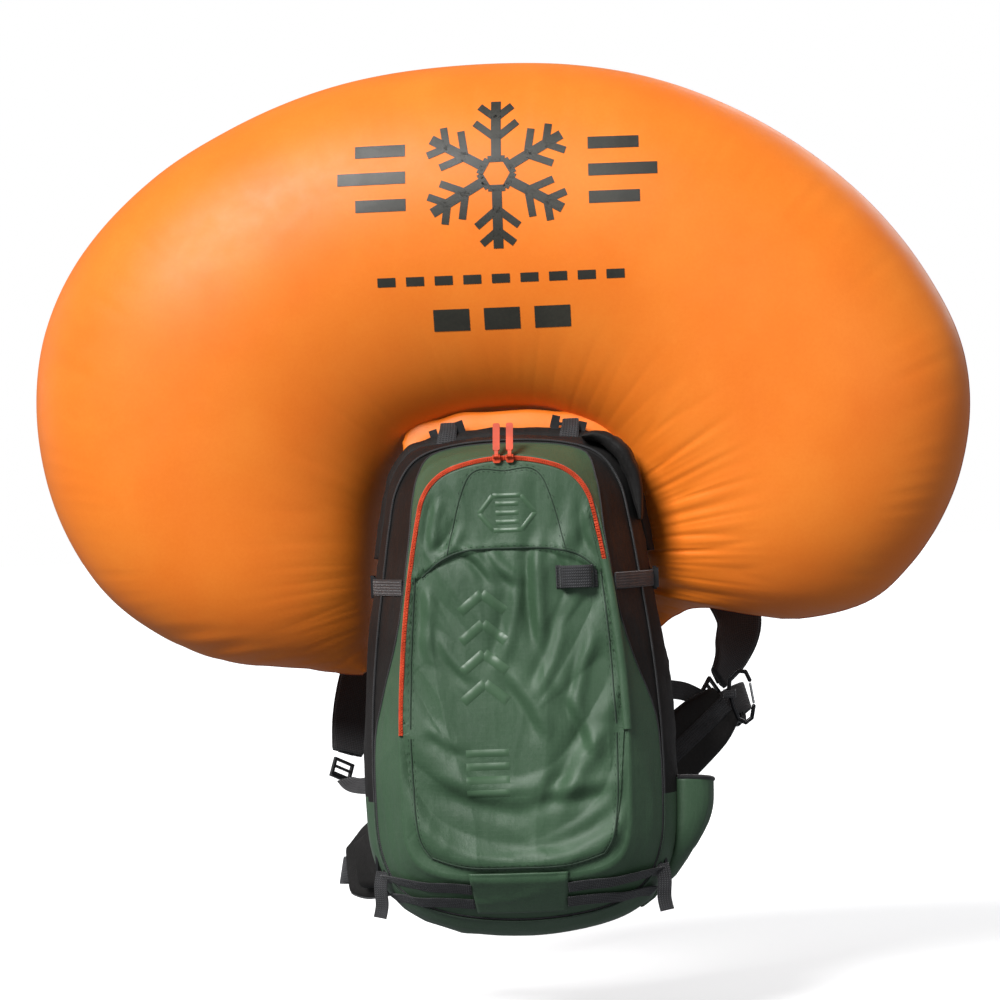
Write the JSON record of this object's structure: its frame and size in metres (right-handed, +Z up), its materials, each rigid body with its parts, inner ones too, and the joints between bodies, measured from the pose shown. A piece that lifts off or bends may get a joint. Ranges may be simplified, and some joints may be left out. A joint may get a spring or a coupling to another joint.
{
  "type": "avalanche airbag backpack",
  "caption": "Worn ski pack with an inflated wrap-around airbag, zipped front tool pocket, blower unit, harness and hip belt.",
  "frame": {"origin": "centre of the lumbar pad's rear face, where the pack bears on the wearer", "axes": "+X the wearer's right, +Y out of the back panel towards the wearer, +Z up"},
  "size_m": [1.1509, 0.4804, 1.0776],
  "materials": {
    "airbag_fabric": "satin coated nylon",
    "webbing_black": "woven nylon",
    "buckle_plastic": "moulded acetal",
    "panel_black": "woven nylon",
    "shell_green": "coated ripstop",
    "zipper_orange": "moulded teeth and coated tape",
    "housing_plastic": "moulded",
    "button_green": "moulded",
    "button_red": "moulded",
    "impeller_plastic": "moulded",
    "motor_steel": "plated",
    "capacitor_sleeve": "shrink sleeve",
    "circuit_board": "solder mask",
    "cell_sleeve": "sleeve",
    "rubber_black": "moulded",
    "foam_pad": "mesh over foam",
    "frame_plastic": "sheet",
    "stay_aluminium": "mill",
    "trigger_plastic": "moulded",
    "carabiner_aluminium": "black anodised",
    "gate_steel": "wire",
    "zipper_black": "coil"
  },
  "bodies": {
    "pack": {"airbag": "airbag_fabric", "airbag_neck": "airbag_fabric", "airbag_collar": "webbing_black", "airbag_flange": "airbag_fabric", "anchor_clips": "buckle_plastic", "main_bag": "panel_black", "pocket_gusset": "shell_green", "zipper_tape_body": "zipper_orange", "blower_rear_shell": "housing_plastic", "blower_front_shell": "housing_plastic", "motor": "motor_steel", "supercapacitors": "capacitor_sleeve", "control_board": "circuit_board", "aa_cells": "cell_sleeve", "outlet_clamp": "motor_steel", "cable_gland": "rubber_black", "charge_socket": "motor_steel", "lumbar_pad": "foam_pad", "thoracic_pads": "foam_pad", "frame_sheet": "frame_plastic", "back_stays": "stay_aluminium", "shoulder_strap_left": "foam_pad", "shoulder_strap_right": "foam_pad", "load_lifter_webbing": "webbing_black", "load_lifter_buckles": "buckle_plastic", "ladder_locks": "buckle_plastic", "adjuster_webbing": "webbing_black", "sternum_webbing": "webbing_black", "sternum_buckle_female": "buckle_plastic", "sternum_buckle_male": "buckle_plastic", "trigger_housing": "panel_black", "side_pocket": "shell_green", "upper_straps": "webbing_black", "ski_loops": "webbing_black", "strap_buckles": "buckle_plastic", "bottom_patch": "shell_green", "main_zipper": "zipper_black"},
    "front_flap": {"front_flap": "shell_green", "zipper_tape_flap": "zipper_orange", "keeper_loop": "webbing_black"},
    "slider_left": {"zip_slider_left": "zipper_orange"},
    "slider_right": {"zip_slider_right": "zipper_orange"},
    "pull_left": {"zip_pull_left": "zipper_orange"},
    "pull_right": {"zip_pull_right": "zipper_orange"},
    "impeller": {"impeller": "impeller_plastic"},
    "power_button": {"power_button": "button_green"},
    "deflate_button": {"deflate_button": "button_red"},
    "battery_door": {"battery_door": "housing_plastic"},
    "trigger_handle": {"trigger_handle": "trigger_plastic"},
    "wing_right": {"hip_wing_right": "foam_pad", "hip_webbing_right": "webbing_black", "hip_buckle_female": "buckle_plastic", "gear_loop": "webbing_black"},
    "wing_left": {"hip_wing_left": "foam_pad", "hip_pocket": "panel_black", "hip_webbing_left": "webbing_black", "hip_buckle_male": "buckle_plastic"},
    "carabiner": {"carabiner_body": "carabiner_aluminium"},
    "carabiner_gate": {"carabiner_gate": "gate_steel"},
    "haul_loop": {"haul_loop": "webbing_black"}
  },
  "joints": [
    {"name": "front_flap_fold", "type": "hinge", "parent": "pack", "child": "front_flap", "pos_m": [0, -0.2156, 0.1227], "axis": [1, 0, 0], "range_deg": [0, 100]},
    {"name": "zip_slider_left_travel", "type": "hinge", "parent": "front_flap", "child": "slider_left", "pos_m": [0, -0.212, 0.262], "axis": [0, 1, 0], "range_deg": [-14, 0]},
    {"name": "zip_slider_right_travel", "type": "hinge", "parent": "front_flap", "child": "slider_right", "pos_m": [0, -0.212, 0.262], "axis": [0, 1, 0], "range_deg": [0, 14]},
    {"name": "zip_pull_left_flip", "type": "hinge", "parent": "slider_left", "child": "pull_left", "pos_m": [-0.008, -0.2166, 0.4545], "axis": [1, 0, 0], "range_deg": [0, 180]},
    {"name": "zip_pull_right_flip", "type": "hinge", "parent": "slider_right", "child": "pull_right", "pos_m": [0.008, -0.2166, 0.4545], "axis": [1, 0, 0], "range_deg": [0, 180]},
    {"name": "impeller_spin", "type": "hinge", "parent": "pack", "child": "impeller", "pos_m": [-0.038, -0.069, 0.33], "axis": [0, 1, 0], "continuous": true},
    {"name": "power_button_press", "type": "slide", "parent": "pack", "child": "power_button", "axis": [0, 1, 0], "range_m": [0, 0.0015], "stiffness_N_per_m": 600},
    {"name": "deflate_button_press", "type": "slide", "parent": "pack", "child": "deflate_button", "axis": [0, 1, 0], "range_m": [0, 0.0015], "stiffness_N_per_m": 600},
    {"name": "battery_door_hinge", "type": "hinge", "parent": "pack", "child": "battery_door", "pos_m": [0.046, -0.05, 0.262], "axis": [1, 0, 0], "range_deg": [0, 100]},
    {"name": "trigger_pull", "type": "slide", "parent": "pack", "child": "trigger_handle", "axis": [-0.4791, -0.1467, -0.8654], "range_m": [0, 0.03], "stiffness_N_per_m": 150},
    {"name": "hip_wing_right_swing", "type": "hinge", "parent": "pack", "child": "wing_right", "pos_m": [0.114, -0.002, 0.012], "axis": [0, 0, 1], "range_deg": [-25, 0]},
    {"name": "hip_wing_left_swing", "type": "hinge", "parent": "pack", "child": "wing_left", "pos_m": [-0.114, -0.002, -0.008], "axis": [0, 0, 1], "range_deg": [-30, 0]},
    {"name": "carabiner_swing", "type": "hinge", "parent": "wing_right", "child": "carabiner", "pos_m": [0.26, 0.05, 0.1445], "axis": [0, 1, 0], "range_deg": [-8, 8]},
    {"name": "carabiner_gate_open", "type": "hinge", "parent": "carabiner", "child": "carabiner_gate", "pos_m": [0.2864, 0.05, 0.1564], "axis": [0, 1, 0], "range_deg": [0, 22], "stiffness_Nm_per_rad": 0.03},
    {"name": "haul_loop_swing", "type": "hinge", "parent": "pack", "child": "haul_loop", "pos_m": [0, -0.014, 0.447], "axis": [-1, 0, 0], "range_deg": [0, 60]}
  ]
}
